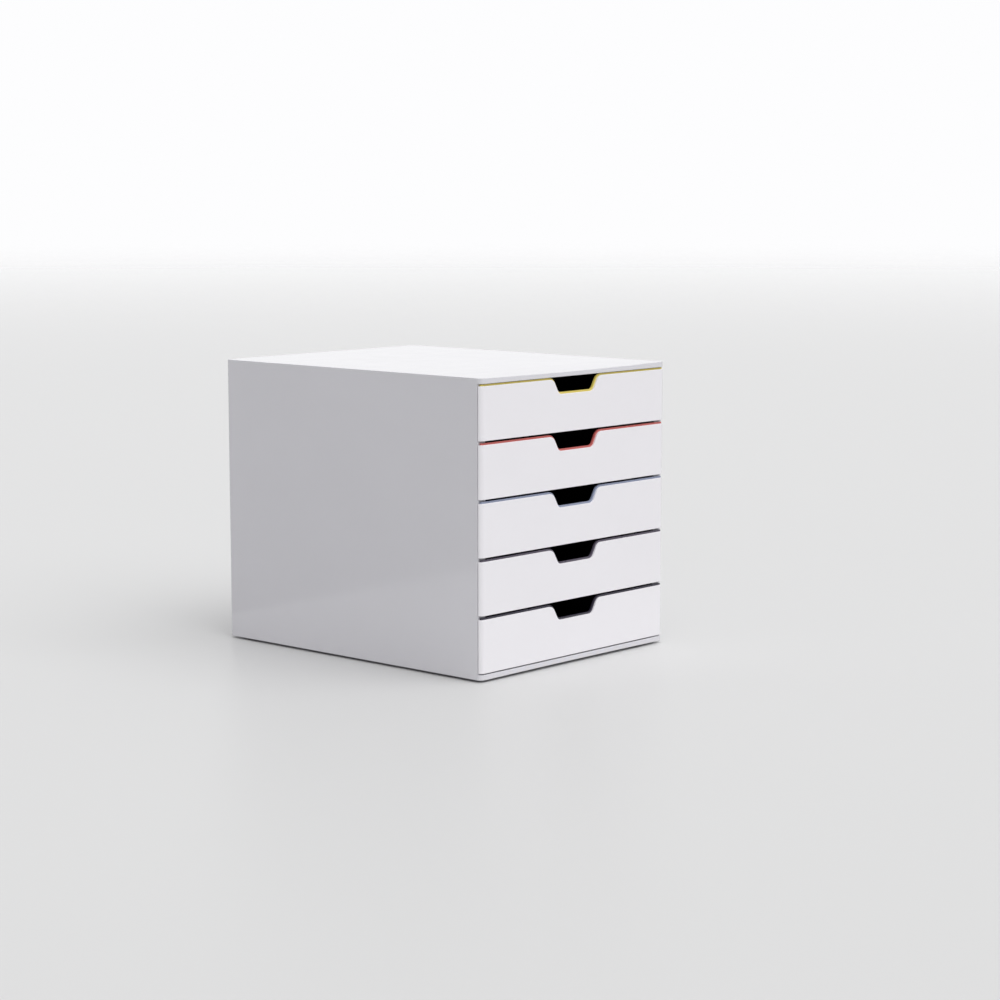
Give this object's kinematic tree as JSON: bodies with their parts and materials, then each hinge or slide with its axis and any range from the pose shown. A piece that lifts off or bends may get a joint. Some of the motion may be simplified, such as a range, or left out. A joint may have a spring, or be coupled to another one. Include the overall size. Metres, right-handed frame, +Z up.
{
  "type": "desktop drawer box",
  "caption": "Desktop drawer box: a glossy sleeve housing with sliding paper trays, each with a white front plate, a coloured trim and a finger cut-out in its top edge.",
  "frame": {"origin": "middle of the footprint, on the surface that the feet stand on", "axes": "+Z up, the drawers open towards -Y, +X to the right as seen from the front"},
  "size_m": [0.28, 0.356, 0.292],
  "materials": {
    "housing_plastic": "glossy light grey, smooth moulded",
    "runner_plastic": "satin light grey",
    "glide_plastic": "satin natural white, smooth",
    "stop_rubber": "matt dark grey elastomer",
    "front_plastic": "glossy white",
    "tray_plastic": "satin anthracite",
    "trim_yellow": "satin yellow",
    "trim_red": "satin coral red",
    "trim_pale_blue": "satin pale grey blue",
    "trim_mauve": "satin mauve grey",
    "trim_slate": "satin dark slate",
    "foot_rubber": "matt grey rubber"
  },
  "bodies": {
    "housing": {"housing_shell": "housing_plastic", "rear_panel": "housing_plastic", "runner_panel_left": "runner_plastic", "runner_panel_right": "runner_plastic", "ledge_1_left": "glide_plastic", "ledge_1_right": "glide_plastic", "guide_1_left": "glide_plastic", "guide_1_right": "glide_plastic", "stop_1_left": "stop_rubber", "stop_1_right": "stop_rubber", "ledge_2_left": "glide_plastic", "ledge_2_right": "glide_plastic", "guide_2_left": "glide_plastic", "guide_2_right": "glide_plastic", "stop_2_left": "stop_rubber", "stop_2_right": "stop_rubber", "ledge_3_left": "glide_plastic", "ledge_3_right": "glide_plastic", "guide_3_left": "glide_plastic", "guide_3_right": "glide_plastic", "stop_3_left": "stop_rubber", "stop_3_right": "stop_rubber", "ledge_4_left": "glide_plastic", "ledge_4_right": "glide_plastic", "guide_4_left": "glide_plastic", "guide_4_right": "glide_plastic", "stop_4_left": "stop_rubber", "stop_4_right": "stop_rubber", "ledge_5_left": "glide_plastic", "ledge_5_right": "glide_plastic", "guide_5_left": "glide_plastic", "guide_5_right": "glide_plastic", "stop_5_left": "stop_rubber", "stop_5_right": "stop_rubber", "foot_front_left": "foot_rubber", "foot_front_right": "foot_rubber", "foot_rear_left": "foot_rubber", "foot_rear_right": "foot_rubber"},
    "drawer_1": {"drawer_1_front": "front_plastic", "drawer_1_trim": "trim_yellow", "drawer_1_tray": "tray_plastic"},
    "drawer_2": {"drawer_2_front": "front_plastic", "drawer_2_trim": "trim_red", "drawer_2_tray": "tray_plastic"},
    "drawer_3": {"drawer_3_front": "front_plastic", "drawer_3_trim": "trim_pale_blue", "drawer_3_tray": "tray_plastic"},
    "drawer_4": {"drawer_4_front": "front_plastic", "drawer_4_trim": "trim_mauve", "drawer_4_tray": "tray_plastic"},
    "drawer_5": {"drawer_5_front": "front_plastic", "drawer_5_trim": "trim_slate", "drawer_5_tray": "tray_plastic"}
  },
  "joints": [
    {"name": "drawer_1_slide", "type": "slide", "parent": "housing", "child": "drawer_1", "axis": [0, -1, 0], "range_m": [0, 0.25]},
    {"name": "drawer_2_slide", "type": "slide", "parent": "housing", "child": "drawer_2", "axis": [0, -1, 0], "range_m": [0, 0.25]},
    {"name": "drawer_3_slide", "type": "slide", "parent": "housing", "child": "drawer_3", "axis": [0, -1, 0], "range_m": [0, 0.25]},
    {"name": "drawer_4_slide", "type": "slide", "parent": "housing", "child": "drawer_4", "axis": [0, -1, 0], "range_m": [0, 0.25]},
    {"name": "drawer_5_slide", "type": "slide", "parent": "housing", "child": "drawer_5", "axis": [0, -1, 0], "range_m": [0, 0.25]}
  ]
}
